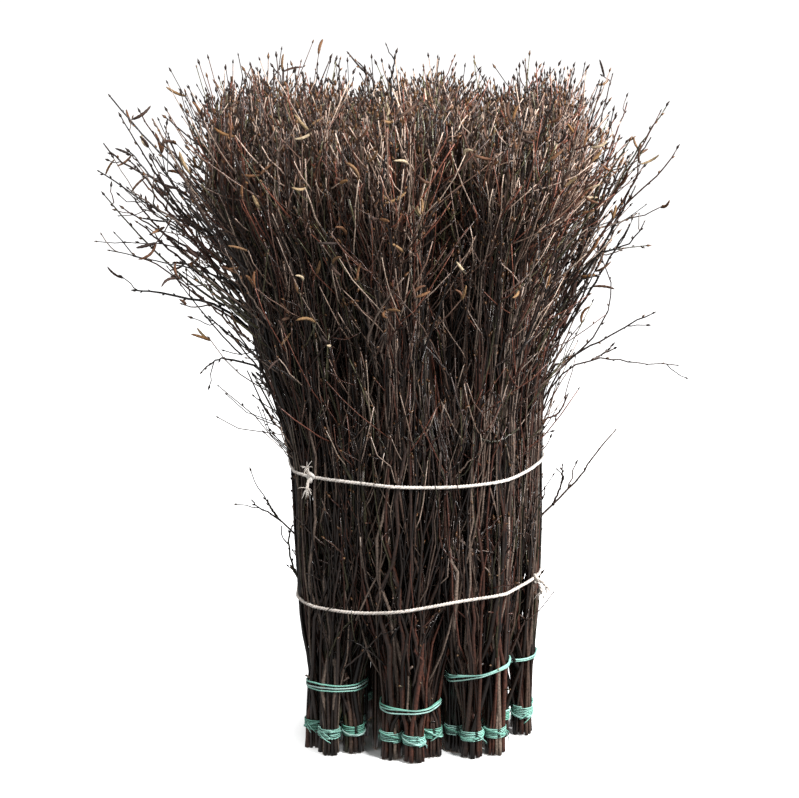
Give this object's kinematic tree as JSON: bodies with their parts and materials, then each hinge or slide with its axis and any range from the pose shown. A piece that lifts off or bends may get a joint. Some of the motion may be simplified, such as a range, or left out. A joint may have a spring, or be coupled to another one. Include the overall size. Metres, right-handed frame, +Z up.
{
  "type": "bundle of birch twigs",
  "caption": "Standing pack of cut birch twigs in twine-wrapped bunches, tied into bundles and held by two cords, opening into a wide brushy crown.",
  "frame": {"origin": "middle of the pack at the level of the cut ends that it stands on", "axes": "+Z up along the twigs, -Y towards the front of the pack, +X to the right seen from the front"},
  "size_m": [0.6906, 0.5064, 0.8303],
  "materials": {
    "birch_bark": "matt thin bark",
    "turquoise_twine": "twisted thin twine",
    "white_cord": "soft cotton cord"
  },
  "bodies": {
    "root": {"bundle_front_left": "birch_bark", "bundle_front_left_wrap_1": "turquoise_twine", "bundle_front_left_wrap_2": "turquoise_twine", "bundle_front_left_wrap_3": "turquoise_twine", "bundle_front_left_wrap_4": "turquoise_twine", "bundle_front_left_wrap_5": "turquoise_twine", "bundle_front_left_tie": "turquoise_twine", "bundle_front": "birch_bark", "bundle_front_wrap_1": "turquoise_twine", "bundle_front_wrap_2": "turquoise_twine", "bundle_front_wrap_3": "turquoise_twine", "bundle_front_wrap_4": "turquoise_twine", "bundle_front_wrap_5": "turquoise_twine", "bundle_front_tie": "turquoise_twine", "bundle_front_right": "birch_bark", "bundle_front_right_wrap_1": "turquoise_twine", "bundle_front_right_wrap_2": "turquoise_twine", "bundle_front_right_wrap_3": "turquoise_twine", "bundle_front_right_wrap_4": "turquoise_twine", "bundle_front_right_wrap_5": "turquoise_twine", "bundle_front_right_tie": "turquoise_twine", "bundle_right": "birch_bark", "bundle_right_wrap_1": "turquoise_twine", "bundle_right_wrap_2": "turquoise_twine", "bundle_right_wrap_3": "turquoise_twine", "bundle_right_wrap_4": "turquoise_twine", "bundle_right_wrap_5": "turquoise_twine", "bundle_right_tie": "turquoise_twine", "bundle_back_right": "birch_bark", "bundle_back_right_wrap_1": "turquoise_twine", "bundle_back_right_wrap_2": "turquoise_twine", "bundle_back_right_wrap_3": "turquoise_twine", "bundle_back_right_wrap_4": "turquoise_twine", "bundle_back_right_wrap_5": "turquoise_twine", "bundle_back_right_tie": "turquoise_twine", "bundle_back": "birch_bark", "bundle_back_wrap_1": "turquoise_twine", "bundle_back_wrap_2": "turquoise_twine", "bundle_back_wrap_3": "turquoise_twine", "bundle_back_wrap_4": "turquoise_twine", "bundle_back_wrap_5": "turquoise_twine", "bundle_back_tie": "turquoise_twine", "bundle_back_left": "birch_bark", "bundle_back_left_wrap_1": "turquoise_twine", "bundle_back_left_wrap_2": "turquoise_twine", "bundle_back_left_wrap_3": "turquoise_twine", "bundle_back_left_wrap_4": "turquoise_twine", "bundle_back_left_wrap_5": "turquoise_twine", "bundle_back_left_tie": "turquoise_twine", "bundle_centre": "birch_bark", "bundle_centre_wrap_1": "turquoise_twine", "bundle_centre_wrap_2": "turquoise_twine", "bundle_centre_wrap_3": "turquoise_twine", "bundle_centre_wrap_4": "turquoise_twine", "bundle_centre_wrap_5": "turquoise_twine", "bundle_centre_tie": "turquoise_twine", "lower_cord": "white_cord", "upper_cord": "white_cord"}
  },
  "joints": []
}
